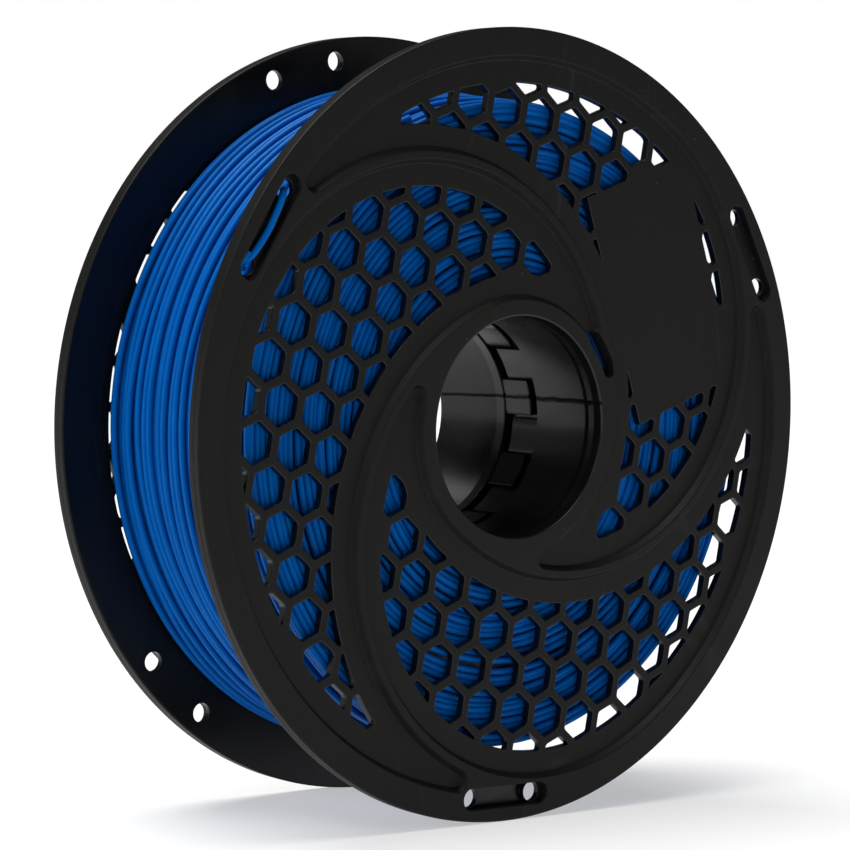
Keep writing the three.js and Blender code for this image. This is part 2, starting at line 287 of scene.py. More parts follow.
def outside_window(polygon, window):
    """The polygon without what the convex window covers. It keeps one piece, which takes in the
    window's corner where that lies inside the polygon."""
    chain = []
    entry = None
    for p, q in edges_of(polygon):
        if not is_inside(p, window):
            chain.append(p)
        for share in crossings(p, q, window):
            point = between(p, q, share)
            if entry is None and not is_inside(p, window):
                entry = len(chain)
                chain.append(point)
                chain.extend(corner for corner in window if is_inside(corner, polygon))
            else:
                chain.append(point)
    return chain


def without_short_edges(polygon, shortest):
    kept = []
    for point in polygon:
        if not kept or math.dist(point, kept[-1]) > shortest:
            kept.append(point)
    while len(kept) > 3 and math.dist(kept[0], kept[-1]) <= shortest:
        kept.pop()
    return kept


def corner_rounded(polygon, radius, outset):
    """A closed anticlockwise outline with rounded corners, grown by outset. The number of points
    doesn't depend on outset."""
    points = []
    count = len(polygon)
    for i in range(count):
        before, here, after = polygon[i - 1], polygon[i], polygon[(i + 1) % count]
        run_in, run_out = math.dist(before, here), math.dist(here, after)
        in_normal = (-(here[1] - before[1]) / run_in, (here[0] - before[0]) / run_in)
        out_normal = (-(after[1] - here[1]) / run_out, (after[0] - here[0]) / run_out)
        cosine = in_normal[0] * out_normal[0] + in_normal[1] * out_normal[1]
        turn = math.atan2(side_of(after, before, here), cosine * run_in * run_out)
        miter = (in_normal[0] + out_normal[0]) / (1 + cosine), (in_normal[1] + out_normal[1]) / (1 + cosine)
        if turn < math.radians(LEAST_ROUNDED_TURN):
            points.append((here[0] - miter[0] * outset, here[1] - miter[1] * outset))
            continue
        fitting = min(radius, MOST_OF_EDGE * min(run_in, run_out) / math.tan(turn / 2))
        centre = (here[0] + miter[0] * fitting, here[1] + miter[1] * fitting)
        steps = max(3, round(math.degrees(turn) / CORNER_STEP))
        for k in range(steps + 1):
            angle = math.atan2(in_normal[1], in_normal[0]) + turn * k / steps
            reach = fitting + outset
            points.append((centre[0] - math.cos(angle) * reach, centre[1] - math.sin(angle) * reach))
    return points


def rounded_path(corners, steps=ROUND_STEPS):
    """An open path through (a, b, radius) corners, each rounded to its radius."""
    path = [tuple(corners[0][:2])]
    for before, here, after in zip(corners, corners[1:], corners[2:]):
        radius = here[2]
        point = Vector(here[:2])
        to_before = (Vector(before[:2]) - point).normalized()
        to_after = (Vector(after[:2]) - point).normalized()
        if radius == 0:
            path.append(tuple(point))
            continue
        half = to_before.angle(to_after) / 2
        centre = point + (to_before + to_after).normalized() * radius / math.sin(half)
        first = (point + to_before * radius / math.tan(half) - centre).normalized()
        last = (point + to_after * radius / math.tan(half) - centre).normalized()
        for k in range(steps + 1):
            path.append(tuple(centre + radius * first.slerp(last, k / steps)))
    path.append(tuple(corners[-1][:2]))
    return path


# ---- Meshes ----

class Shell:
    """One closed surface while it is built, in millimetres in a flange's own frame."""

    def __init__(self):
        self.points = []
        self.faces = []
        self.finishes = []

    def loop(self, points):
        first = len(self.points)
        self.points.extend(points)
        return list(range(first, len(self.points)))

    def ring(self, outline, height):
        return self.loop((x, y, height) for x, y in outline)

    def face(self, corners, finish):
        self.faces.append(tuple(corners))
        self.finishes.append(finish)

    def band(self, one, other, finish):
        """Quads between two rings that have as many points."""
        for i in range(len(one)):
            j = (i + 1) % len(one)
            self.face((one[i], one[j], other[j], other[i]), finish)

    def bands(self, rings, finish):
        for one, other in zip(rings, rings[1:]):
            self.band(one, other, finish)

    def fill(self, outer, holes, finish):
        """The flat region inside the outer ring and outside the holes."""
        ids = list(outer)
        edges = []
        for loop in (outer, *holes):
            start = 0 if loop is outer else len(ids)
            if loop is not outer:
                ids.extend(loop)
            edges.extend((start + k, start + (k + 1) % len(loop)) for k in range(len(loop)))
        flat = [Vector(self.points[i][:2]) for i in ids]
        _, _, triangles, origins, _, _ = delaunay_2d_cdt(flat, edges, [], 0, 1e-5, True)
        source = [origin[0] for origin in origins]
        walls = {frozenset(edge) for edge in edges}
        triangles = [tuple(source[v] for v in triangle) for triangle in triangles]
        beside = {}
        for number, triangle in enumerate(triangles):
            for a, b in edges_of(triangle):
                beside.setdefault(frozenset((a, b)), []).append(number)
        boundary = [tuple(flat[k]) for k in range(len(outer))]
        reached = {self.first_inside(beside[frozenset((0, 1))], triangles, flat, boundary)}
        waiting = list(reached)
        while waiting:
            triangle = triangles[waiting.pop()]
            for a, b in edges_of(triangle):
                if frozenset((a, b)) in walls:
                    continue
                for other in beside[frozenset((a, b))]:
                    if other not in reached:
                        reached.add(other)
                        waiting.append(other)
        for number in sorted(reached):
            self.face([ids[v] for v in triangles[number]], finish)

    @staticmethod
    def first_inside(candidates, triangles, flat, boundary):
        """Of the triangles beside the boundary's first edge, the one inside the boundary."""
        for number in candidates:
            middle = sum((flat[v] for v in triangles[number]), Vector((0, 0))) / 3
            if winds_round(middle, boundary):
                return number
        return candidates[0]

    def mesh(self, name, place):
        """A Blender mesh in metres, each point put in the shared frame by place."""
        mesh = bpy.data.meshes.new(name)
        mesh.from_pydata([place(*point) for point in self.points], [], self.faces)
        mesh.polygons.foreach_set("material_index", self.finishes)
        return mesh


def winds_round(point, boundary):
    inside = False
    for p, q in edges_of(boundary):
        if (p[1] > point[1]) != (q[1] > point[1]):
            if point[0] < p[0] + (q[0] - p[0]) * (point[1] - p[1]) / (q[1] - p[1]):
                inside = not inside
    return inside


def in_front(x, y, z):
    """A point of the front half, from its flange's frame to the shared frame."""
    return (x * MM, -(SPOOL_WIDTH / 2 + z) * MM, y * MM)


def in_rear(x, y, z):
    """A point of the rear half. Its flange is turned in its plane, then turned round."""
    x, y = turned((x, y), REAR_TURN)
    return (-x * MM, (SPOOL_WIDTH / 2 + z) * MM, y * MM)


def straight(x, y, z):
    return (x, y, z)


def linked(name, data):
    made = bpy.data.objects.new(name, data)
    bpy.context.collection.objects.link(made)
    return made


def add_object(name, mesh, materials):
    for material in materials:
        mesh.materials.append(material)
    return linked(name, mesh)


def tidy_normals(mesh, sharp_angle=50):
    """Faces point out, and edges sharper than the angle stay sharp."""
    work = bmesh.new()
    work.from_mesh(mesh)
    bmesh.ops.recalc_face_normals(work, faces=work.faces)
    limit = math.radians(sharp_angle)
    for edge in work.edges:
        edge.smooth = len(edge.link_faces) == 2 and edge.calc_face_angle(0) < limit
    for face in work.faces:
        face.smooth = True
    work.to_mesh(mesh)
    work.free()


# ---- A flange ----

def label_window():
    along = on_circle((0, 0), LABEL_WIDTH / 2, LABEL_ANGLE)
    up = on_circle((0, 0), LABEL_HEIGHT / 2, LABEL_ANGLE + 90)
    return [(LABEL_CENTRE[0] + a * along[0] + b * up[0], LABEL_CENTRE[1] + a * along[1] + b * up[1])
            for a, b in ((-1, -1), (1, -1), (1, 1), (-1, 1))]


def hexagon(centre):
    reach = CELL_ACROSS_FLATS / math.sqrt(3)
    return [on_circle(centre, reach, CELL_ROW_ANGLE + 30 + 60 * i) for i in range(6)]


def panel_cells():
    """The honeycomb of the first panel. Cells that the panel's edge cuts to a sliver are left out."""
    tip = CELL_REGION_TIP_RADIUS
    region = panel_outline(CELL_MARGIN, hub_tip=tip, rim_tip=tip)[::-1]
    along = on_circle((0, 0), CELL_PITCH, CELL_ROW_ANGLE)
    up = on_circle((0, 0), CELL_PITCH, CELL_ROW_ANGLE + 60)
    cells = []
    for row in range(-CELL_ROWS_EACH_WAY, CELL_ROWS_EACH_WAY + 1):
        for column in range(-CELL_ROWS_EACH_WAY, CELL_ROWS_EACH_WAY + 1):
            centre = (FIRST_CELL[0] + along[0] * column + up[0] * row,
                      FIRST_CELL[1] + along[1] * column + up[1] * row)
            if math.hypot(*centre) > FLANGE_RADIUS:
                continue
            cell = clipped(region, hexagon(centre))
            if cell and area(cell) > SMALLEST_CELL_AREA:
                cells.append(cell)
    return cells


def open_cells(cells, panel):
    """A panel's cells, turned into place, without what the label plate closes."""
    window = label_window()
    placed = []
    for cell in cells:
        cell = [turned(point, 360 / PANELS * panel) for point in cell]
        cell = without_short_edges(outside_window(cell, window), SHORTEST_CELL_EDGE)
        if len(cell) > 2 and area(cell) > SMALLEST_CELL_AREA:
            placed.append(cell)
    return placed


def stadium(angle, outset):
    """The outline of a rim slot's recess."""
    centre = on_circle((0, 0), SLOT_CENTRE_RADIUS, angle)
    head = on_circle(centre, SLOT_HALF_SPACING, angle + 90)
    tail = on_circle(centre, SLOT_HALF_SPACING, angle - 90)
    radius = SLOT_END_RADIUS + outset
    pieces = SLOT_END_PIECES
    return (arc(head, radius, angle, angle + 180, pieces) + [on_circle(head, radius, angle + 180)]
            + arc(tail, radius, angle + 180, angle + 360, pieces) + [on_circle(tail, radius, angle + 360)])


def tie_holes(angle):
    centre = on_circle((0, 0), SLOT_CENTRE_RADIUS, angle)
    return [on_circle(centre, TIE_HOLE_HALF_SPACING, angle + side) for side in (90, -90)]


def cell_holes(shell, cell):
    """The rings of one cell, from its lip in the panel's floor to its lip in the inner face."""
    path = rounded_path([(0.9, -RECESS_DEPTH, 0), (0, -RECESS_DEPTH, 0.22),
                         (0, -FLANGE_THICKNESS, 0.2), (0.9, -FLANGE_THICKNESS, 0)])[1:-1]
    rings = [shell.ring(corner_rounded(cell, CELL_CORNER_RADIUS, outset), height)
             for outset, height in path]
    shell.bands(rings, POLISHED)
    return rings[0], rings[-1]


def add_panel(shell, panel, cells):
    """One recessed panel with its sloped wall. Returns its top ring and its cells' inner lips."""
    path = rounded_path([(-1, -RECESS_DEPTH, 0), (0, -RECESS_DEPTH, 0.45), (WALL_SLOPE, 0, 0.4), (3, 0, 0)],
                        steps=5)[1:-1]
    rings = []
    for outset, height in path:
        outline = panel_outline(-outset, tip_growth=outset)
        rings.append(shell.ring([turned(point, 360 / PANELS * panel) for point in outline], height))
    shell.bands(rings, SATIN)
    lips = [cell_holes(shell, cell) for cell in open_cells(cells, panel)]
    shell.fill(rings[0], [lip[0] for lip in lips], SATIN)
    return rings[-1], [lip[1] for lip in lips]


def add_rim_slot(shell, angle):
    """A slot's recess with its two through holes. Returns its top ring and the holes' inner lips."""
    path = rounded_path([(-0.3, -SLOT_DEPTH, 0), (0, -SLOT_DEPTH, 0.08), (0, 0, 0.35), (1, 0, 0)])[1:-1]
    rings = [shell.ring(stadium(angle, outset), height) for outset, height in path]
    shell.bands(rings, SATIN)
    floor_lips = []
    inner_lips = []
    for centre in tie_holes(angle):
        hole_path = rounded_path([(1, -SLOT_DEPTH, 0), (0, -SLOT_DEPTH, 0.12),
                                  (0, -FLANGE_THICKNESS, 0.2), (1, -FLANGE_THICKNESS, 0)])[1:-1]
        hole = [shell.ring(circle(TIE_HOLE_RADIUS + outset, HOLE_SEGMENTS, centre), height)
                for outset, height in hole_path]
        shell.bands(hole, POLISHED)
        floor_lips.append(hole[0])
        inner_lips.append(hole[-1])
    shell.fill(rings[0], floor_lips, SATIN)
    return rings[-1], inner_lips


def add_lathe(shell, path, finish, segments=RIM_SEGMENTS):
    """A surface of revolution from (radius, z) points. Returns its first and last rings."""
    rings = [shell.ring(circle(radius, segments), height) for radius, height in path]
    shell.bands(rings, finish)
    return rings[0], rings[-1]


def rim_path():
    """Round the flange's edge, past the parting line at half its thickness."""
    radius, thick = FLANGE_RADIUS, FLANGE_THICKNESS
    middle, half_gap, groove = -thick / 2, 0.12, 0.14
    return rounded_path([
        (radius - 2, 0, 0), (radius, 0, 0.5),
        (radius, middle + half_gap, 0.05), (radius - groove, middle, 0), (radius, middle - half_gap, 0.05),
        (radius, -thick, 0.5), (radius - 2, -thick, 0),
    ])[1:-1]


def front_hub_path():
    """From the bore's lip, past the step and groove behind it, down the sleeve, over the collar and
    up its outside to the flange."""
    return rounded_path([
        (BORE_RADIUS + 3, 0, 0), (BORE_RADIUS, 0, 0.5),
        (BORE_RADIUS - BORE_LIP_STEP, -BORE_LIP_DEPTH, 0.15),
        (BORE_RADIUS - BORE_LIP_STEP, -BORE_STRIP_END, 0.1),
        (BORE_RADIUS + BORE_GROOVE_RISE, -BORE_STRIP_END - 0.1, 0.05),
        (BORE_RADIUS, -BORE_GROOVE_END, 0.3), (BORE_RADIUS, -FRONT_SLEEVE_END, 0.25),
        (TOOTH_OUTER_RADIUS + CLEARANCE, -FRONT_SLEEVE_END, 0.1),
        (TOOTH_OUTER_RADIUS + CLEARANCE, -COLLAR_END, 0.2),
        (HUB_RADIUS, -COLLAR_END, 0.2), (HUB_RADIUS, -FLANGE_THICKNESS, 0.3),
        (HUB_RADIUS + 2, -FLANGE_THICKNESS, 0),
    ])[1:-1]


def rear_hub_path():
    """The same for the rear half, whose bore narrows to its face and whose spigot slips into the collar."""
    shoulder = SPOOL_WIDTH - COLLAR_END - CLEARANCE
    sleeve_end = SPOOL_WIDTH - REAR_SLEEVE_END
    return rounded_path([
        (BORE_RADIUS + 3, 0, 0), (REAR_OPENING_RADIUS, 0, 0.6), (BORE_RADIUS, -REAR_TAPER_LENGTH, 2),
        (BORE_RADIUS, -sleeve_end, 0.25),
        (TOOTH_OUTER_RADIUS, -sleeve_end, 0.1), (TOOTH_OUTER_RADIUS, -shoulder, 0.1),
        (HUB_RADIUS, -shoulder, 0.2), (HUB_RADIUS, -FLANGE_THICKNESS, 0.3),
        (HUB_RADIUS + 2, -FLANGE_THICKNESS, 0),
    ])[1:-1]


def half_shell(hub_path, cells):
    """A flange with its hub sleeve, as one closed surface, still without the start slot."""
    shell = Shell()
    rim_top, rim_bottom = add_lathe(shell, rim_path(), SATIN)
    hub_top, hub_bottom = add_lathe(shell, hub_path, POLISHED)
    top_holes, inner_holes = [hub_top], [hub_bottom]
    for panel in range(PANELS):
        top, lips = add_panel(shell, panel, cells)
        top_holes.append(top)
        inner_holes.extend(lips)
    for angle in SLOT_ANGLES:
        top, lips = add_rim_slot(shell, angle)
        top_holes.append(top)
        inner_holes.extend(lips)
    shell.fill(rim_top, top_holes, SATIN)
    shell.fill(rim_bottom, inner_holes, POLISHED)
    return shell


def start_slot_cutter():
    """A curved bar that cuts the start slot."""
    width = START_SLOT_HALF_WIDTH
    head = on_circle((0, 0), START_SLOT_RADIUS, START_SLOT_TO)
    tail = on_circle((0, 0), START_SLOT_RADIUS, START_SLOT_FROM)
    pieces = START_SLOT_PIECES
    outline = (arc((0, 0), START_SLOT_RADIUS + width, START_SLOT_FROM, START_SLOT_TO, pieces)
               + arc(head, width, START_SLOT_TO, START_SLOT_TO + 180, pieces)
               + arc((0, 0), START_SLOT_RADIUS - width, START_SLOT_TO, START_SLOT_FROM, pieces)
               + arc(tail, width, START_SLOT_FROM + 180, START_SLOT_FROM + 360, pieces))
    shell = Shell()
    top, bottom = shell.ring(outline, 1), shell.ring(outline, -FLANGE_THICKNESS - 1)
    shell.band(top, bottom, SATIN)
    shell.face(top, SATIN)
    shell.face(bottom[::-1], SATIN)
    return shell


def cut(mesh, cutter_mesh):
    """The mesh with the cutter's shape taken out of it."""
    body, cutter = linked("cut_body", mesh), linked("cutter", cutter_mesh)
    modifier = body.modifiers.new("cut", "BOOLEAN")
    modifier.operation = "DIFFERENCE"
    modifier.solver = "EXACT"
    modifier.object = cutter
    result = bpy.data.meshes.new_from_object(body.evaluated_get(bpy.context.evaluated_depsgraph_get()))
    for piece in (body, cutter):
        bpy.data.objects.remove(piece)
    return result


def add_tooth(shell, middle, width, outer, low, high):
    """A curved block with rounded edges: its section is swept round the axis, smaller at its ends."""
    inner, edge = TOOTH_INNER_RADIUS, TOOTH_EDGE_RADIUS
    section = [(inner, high), (outer, high), (outer, low), (inner, low)]
    stations = []
    for k in range(TOOTH_EDGE_STEPS + 1):
        lean = math.radians(90 * k / TOOTH_EDGE_STEPS)
        stations.append((edge * (1 - math.sin(lean)), edge * (1 - math.cos(lean))))
    half = math.radians(width / 2) * inner
    ends = [(-half + along, inset) for along, inset in stations]
    middles = [(half * (2 * k / TOOTH_STEPS - 1), 0) for k in range(1, TOOTH_STEPS)]
    sweep = ends + middles + [(-along, inset) for along, inset in ends[::-1]]
    rings = []
    for along, inset in sweep:
        bearing = middle + math.degrees(along / inner)
        outline = corner_rounded(section[::-1] if area(section) < 0 else section, edge, -inset)
        rings.append(shell.loop((*on_circle((0, 0), radius, bearing), height)
                                for radius, height in outline))
    shell.bands(rings, POLISHED)
    shell.face(rings[0], POLISHED)
    shell.face(rings[-1][::-1], POLISHED)


def make_half(name, hub_path, cells, teeth, place, materials):
    body = half_shell(hub_path, cells).mesh(name, straight)
    cutter = start_slot_cutter().mesh("start_slot", straight)
    for mesh in (body, cutter):
        tidy_normals(mesh)
    body = cut(body, cutter)
    shell = Shell()
    for i in range(TEETH):
        add_tooth(shell, teeth["middle"] + i * 360 / TEETH, teeth["width"], teeth["outer"],
                  teeth["low"], teeth["high"])
    tooth_mesh = shell.mesh(name + "_teeth", straight)
    tidy_normals(tooth_mesh)
    work = bmesh.new()
    for part in (body, tooth_mesh):
        work.from_mesh(part)
    for vertex in work.verts:
        vertex.co = place(*vertex.co)
    mesh = bpy.data.meshes.new(name)
    work.to_mesh(mesh)
    work.free()
    tidy_normals(mesh)
    piece = add_object(name, mesh, materials)
    weighted = piece.modifiers.new("even_shading", "WEIGHTED_NORMAL")
    weighted.keep_sharp = True
    return piece


# ---- The filament ----

def tube_mesh(name, strands, sides):
    """Closed round tubes. Each strand is (centres, radius, across, along, closed, tint): across and
    along are its section's axes at each centre, and tint goes into the attribute "strand"."""
    points, faces, tints = [], [], []
    angles = np.arange(sides) * 2 * np.pi / sides
    for centres, radius, across, along, closed, tint in strands:
        count = len(centres)
        base = sum(len(block) for block in points)
        ring = (centres[:, None, :] + radius * (np.cos(angles)[None, :, None] * across[:, None, :]
                                                + np.sin(angles)[None, :, None] * along[:, None, :]))
        points.append(ring.reshape(-1, 3))
        last = count if closed else count - 1
        i = np.arange(last)[:, None]
        k = np.arange(sides)[None, :]
        here, ahead = i * sides, ((i + 1) % count) * sides
        right = (k + 1) % sides
        quads = np.stack(np.broadcast_arrays(here + k, here + right, ahead + right, ahead + k), axis=-1)
        faces.extend((quads.reshape(-1, 4) + base).tolist())
        if not closed:
            faces.append((base + np.arange(sides)[::-1]).tolist())
            faces.append((base + (count - 1) * sides + np.arange(sides)).tolist())
        tints.append(np.full(count * sides, tint))
    mesh = bpy.data.meshes.new(name)
    mesh.from_pydata((np.concatenate(points) * MM).tolist(), [], faces)
    shade = mesh.attributes.new("strand", "FLOAT", "POINT")
    shade.data.foreach_set("value", np.concatenate(tints).astype(np.float32))
    tidy_normals(mesh)
    return mesh


def round_axis(angles, radius, y):
    """Points in the shared frame, in millimetres, at angles seen from the front: x right, z up."""
    return np.stack([radius * np.cos(angles), y, radius * np.sin(angles)], axis=-1)


def wound_strand(angles, radius, y, closed, tint):
    """A strand round the axis, for tube_mesh."""
    across = round_axis(angles, np.ones_like(angles), np.zeros_like(angles))
    along = np.tile((0.0, 1.0, 0.0), (len(angles), 1))
    return (round_axis(angles, radius, y), STRAND_RADIUS, across, along, closed, tint)


def drift(angles, offset, waves):
    """A smooth wandering along the angle, which changes slowly with offset."""
    total = np.zeros_like(angles)
    for size, turns, phase, lean in waves:
        total += size * np.sin(turns * angles + phase + lean * offset)
    return total


def wandering(dice, size, turns, lean):
    """Waves for drift: each halves the one before."""
    return [(size / (n + 1), turn, dice.uniform(0, 2 * math.pi), lean * dice.uniform(0.6, 1.4))
            for n, turn in enumerate(turns)]


LOW_WINDING, HIGH_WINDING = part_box("filament_winding")
WINDING_REAR_RADIUS = (HIGH_WINDING[0] - LOW_WINDING[0]) / 2 / MM
WINDING_FRONT_RADIUS = 81.7
WINDING_HALF = (HIGH_WINDING[1] - LOW_WINDING[1]) / 2 / MM
STRAND_RADIUS = FILAMENT_DIAMETER / 2
LAYER_STEP = FILAMENT_DIAMETER * 0.87
STRAND_SIDES = 12
SIDE_STEPS = 240
CORE_SEGMENTS = 144
ROD_SIDES = 20

# The layers that show between the flanges, from the top down, and how each one's strand dives
# in at its two ends and rides up where two turns press together.
LAYERS = (
    {"pitch": 2.45, "unevenness": 0.3, "steps": 220, "wave_size": 0.8, "bulge": 0.3},
    {"pitch": FILAMENT_DIAMETER, "unevenness": 0, "steps": 140, "wave_size": 0.3, "bulge": 0.12},
    {"pitch": FILAMENT_DIAMETER, "unevenness": 0, "steps": 90, "wave_size": 0.1, "bulge": 0.05},
)
DIVE = 2.4
DIVE_ANGLE = 0.35
RIDE_UP = 1.2


def winding_radius(y):
    """The winding stands higher against the rear flange than against the front one."""
    share = (y / WINDING_HALF + 1) / 2
    return WINDING_FRONT_RADIUS + (WINDING_REAR_RADIUS - WINDING_FRONT_RADIUS) * share


def outer_layer(dice, under, half, pitch, unevenness, steps, wave_size, bulge):
    """One layer as a single strand that winds from side to side, diving in at both ends."""
    turns = int(2 * half / pitch)
    widths = np.array([dice.uniform(1 - unevenness, 1 + unevenness) for _ in range(turns)])
    edges = np.concatenate([[0], np.cumsum(widths)]) * 2 * half / widths.sum()
    angles = np.linspace(0, 2 * np.pi * turns, steps * turns)
    y = np.interp(angles / (2 * np.pi), np.arange(turns + 1), edges) - half
    waves = (wandering(dice, wave_size, (2, 3, 5, 7), 0.25)
             + wandering(dice, 0.45 * wave_size, (1, 2, 4), 1.1))
    shift = drift(angles % (2 * np.pi), y, waves)
    ahead = drift(angles % (2 * np.pi), y + pitch, waves)
    squeeze = np.clip((shift - ahead) / pitch, 0, 1)
    lift = drift(angles, y, wandering(dice, bulge, (1.13, 2.37, 4.61), 0.9))
    edge = np.clip((half - np.abs(y)) / (2 * FILAMENT_DIAMETER), 0, 1)
    end = np.minimum(angles, angles[-1] - angles)
    dive = DIVE * np.exp(-end / DIVE_ANGLE)
    ride = RIDE_UP * squeeze * (np.floor(angles / (2 * np.pi)) % 2)
    reach = winding_radius(y) - under + lift + ride - dive
    return wound_strand(angles, reach, y + shift * edge, False, dice.random())


def side_turns(dice, side):
    """The turns that show at one side of the winding, wandering in and out of each other."""
    strands = []
    reach = winding_radius(side * WINDING_HALF) - STRAND_RADIUS
    inner = HUB_RADIUS + 1.3
    count = int((reach - inner) / (FILAMENT_DIAMETER * 0.93))
    waves = wandering(dice, 0.55, (2, 3, 5, 8), 0.35)
    angles = np.arange(SIDE_STEPS) * 2 * np.pi / SIDE_STEPS
    for number in range(count):
        radius = inner + (reach - inner) * number / (count - 1)
        fade = math.sin(math.pi * number / (count - 1)) ** 0.5
        own = wandering(dice, 0.3, (1, 2, 4), 0)
        depth = dice.uniform(0.0, 0.55) + 0.35 * (number % 2)
        wave = drift(angles, 0 * angles, wandering(dice, 0.28, (1, 3, 5), 0))
        y = side * (WINDING_HALF - STRAND_RADIUS - depth + np.minimum(wave, depth))
        r = radius + fade * (drift(angles, radius, waves) + drift(angles, 0, own))
        strands.append(wound_strand(angles, r, y, True, dice.random()))
    return strands


def make_winding(materials):
    dice = random.Random(11)
    half = WINDING_HALF - STRAND_RADIUS
    strands = [outer_layer(dice, STRAND_RADIUS + number * LAYER_STEP, half, **layer)
               for number, layer in enumerate(LAYERS)]
    for side in (-1, 1):
        strands.extend(side_turns(dice, side))
    mesh = tube_mesh("winding_strands", strands, STRAND_SIDES)
    return add_object("winding_strands", mesh, materials)


def make_core(materials):
    """The inner turns, which show only as darkness between the outer ones, in a painted shaded dark blue.
    """
    inner = HUB_RADIUS + 0.5
    under = 2 * FILAMENT_DIAMETER
    half = WINDING_HALF - 1.6 * FILAMENT_DIAMETER
    path = rounded_path([(inner, 0, 0), (inner, half, 1), (winding_radius(half) - under, half, 2),
                         (winding_radius(-half) - under, -half, 2), (inner, -half, 1), (inner, 0, 0)])
    shell = Shell()
    rings = [shell.loop([(x, y, z) for x, z in circle(radius, CORE_SEGMENTS)]) for radius, y in path[:-1]]
    shell.bands(rings + rings[:1], SATIN)
    mesh = shell.mesh("winding_core", lambda x, y, z: (x * MM, y * MM, z * MM))
    tidy_normals(mesh)
    return add_object("winding_core", mesh, materials)


TAIL_ANGLE = 150.0
TAIL_LEAVES_ANGLE = 115.0
TAIL_LEAVES_DEPTH = 6.6
# Each point is (along the slot, depth below the front face, away from the axis).
TAIL_IN_SLOT = [
    (-17.5, 7.6, -4.2), (-13.6, 6.6, -2.7), (-11.6, 5.2, -1.5), (-10.5, 3.6, -0.5), (-9.5, 2.0, 0.2),
    (-7, 1.3, 0.1), (-3.5, 1.25, -0.2), (0, 1.25, -0.4), (3.5, 1.25, -0.2), (7, 1.3, 0.2),
    (9.3, 1.9, 0.6), (10.4, 3.3, 0.5), (10.6, 4.8, -0.4), (10.3, 6.4, -1.6), (9.6, 7.8, -2.9),
]
TAIL_END = [(13.0, 6.0, 1.3), (12.3, 4.6, 1.4), (11.3, 3.2, 1.5), (9.8, 2.2, 1.55), (7.8, 1.75, 1.5)]


def smooth_route(points, steps):
    """A smooth curve through given points, in millimetres, by centripetal Catmull-Rom."""
    points = [Vector(point) for point in points]
    points = [2 * points[0] - points[1], *points, 2 * points[-1] - points[-2]]
    route = []
    for a, b, c, d in zip(points, points[1:], points[2:], points[3:]):
        knots = [0.0]
        for p, q in ((a, b), (b, c), (c, d)):
            knots.append(knots[-1] + math.sqrt((q - p).length))
        for i in range(steps):
            t = knots[1] + (knots[2] - knots[1]) * i / steps
            route.append(curve_point(a, b, c, d, knots, t))
    route.append(points[-2])
    return np.array([tuple(point) for point in route])


def curve_point(a, b, c, d, knots, t):
    """The curve's point at t, by repeated blending between its four points."""
    def mix(p, q, start, end):
        return p * ((end - t) / (end - start)) + q * ((t - start) / (end - start))
    ab = mix(a, b, knots[0], knots[1])
    bc = mix(b, c, knots[1], knots[2])
    cd = mix(c, d, knots[2], knots[3])
    return mix(mix(ab, bc, knots[0], knots[2]), mix(bc, cd, knots[1], knots[3]), knots[1], knots[2])


def rod_strand(route, tint):
    """A round rod along a route, its section axes carried along without twist."""
    tangents = np.gradient(route, axis=0)
    tangents /= np.linalg.norm(tangents, axis=1)[:, None]
    across = np.cross(tangents[0], (0.0, 1.0, 0.0))
    frames = []
    for tangent in tangents:
        across = across - tangent * np.dot(across, tangent)
        across /= np.linalg.norm(across)
        frames.append(across.copy())
    across = np.array(frames)
    return (route, STRAND_RADIUS, across, np.cross(tangents, across), False, tint)


def make_rod(name, route, steps, tint, materials):
    strands = [rod_strand(smooth_route(route, steps), tint)]
    return add_object(name, tube_mesh(name, strands, ROD_SIDES), materials)


def slot_point(along, depth, outward):
    """A point in the tied slot, in the shared frame, in millimetres."""
    centre = on_circle((0, 0), SLOT_CENTRE_RADIUS + outward, TAIL_ANGLE)
    x, y = on_circle(centre, along, TAIL_ANGLE + 90)
    return (x, depth - SPOOL_WIDTH / 2, y)


def make_tail(materials):
    """The free end: off the winding, out of one tie hole, along the slot and back in."""
    top = winding_radius(TAIL_LEAVES_DEPTH - SPOOL_WIDTH / 2) + STRAND_RADIUS + CLEARANCE
    x, z = on_circle((0, 0), top, TAIL_LEAVES_ANGLE)
    route = [(x, TAIL_LEAVES_DEPTH - SPOOL_WIDTH / 2, z)]
    route.extend(slot_point(*point) for point in TAIL_IN_SLOT)
    return make_rod("tail_strand", route, 8, 0.6, materials)


def make_tail_end(materials):
    """The last few millimetres, which come back up beside the strand in the lower tie hole."""
    return make_rod("tail_end", [slot_point(*point) for point in TAIL_END], 8, 0.3, materials)


def make_start(materials):
    """The strand's inner end, caught in the hub's curved slot."""
    low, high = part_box("filament_start")
    middle = (low + high) / 2 / MM
    route = [(middle[0], low[1] / MM + (high[1] - low[1]) / MM * share, middle[2])
             for share in (1, 0.66, 0.33, 0)]
    return make_rod("start_strand", route, 4, 0.1, materials)


# ---- Materials ----

SATIN_TONES = (0.0040, 0.0041, 0.0037, 1), (0.0058, 0.0059, 0.0054, 1)
SATIN_GRAIN = (0.0105, 0.0105, 0.0095, 1)
# Lighter colour for convex edges: partly rubbed wear, partly a painted highlight.
SATIN_EDGE_WEAR_AND_HIGHLIGHT = (0.022, 0.0215, 0.02, 1)
SATIN_SCRATCHED = (0.03, 0.03, 0.028, 1)
DUST = (0.12, 0.12, 0.115, 1)
POLISHED_TONES = (0.0020, 0.0023, 0.0025, 1), (0.0032, 0.0035, 0.0037, 1)
POLISHED_SCRATCHED = (0.03, 0.03, 0.03, 1)
BLUE_TONES = (0.0, 0.066, 0.31, 1), (0.0, 0.116, 0.46, 1)
# Painted shade: the inner turns are the same blue filament, darkened for the little light between the outer
# turns.
SHADED_BLUE_TONES = (0.0, 0.012, 0.06, 1), (0.0, 0.02, 0.09, 1)
FLOOR_TONES = (0.52, 0.52, 0.52, 1), (0.55, 0.55, 0.55, 1)


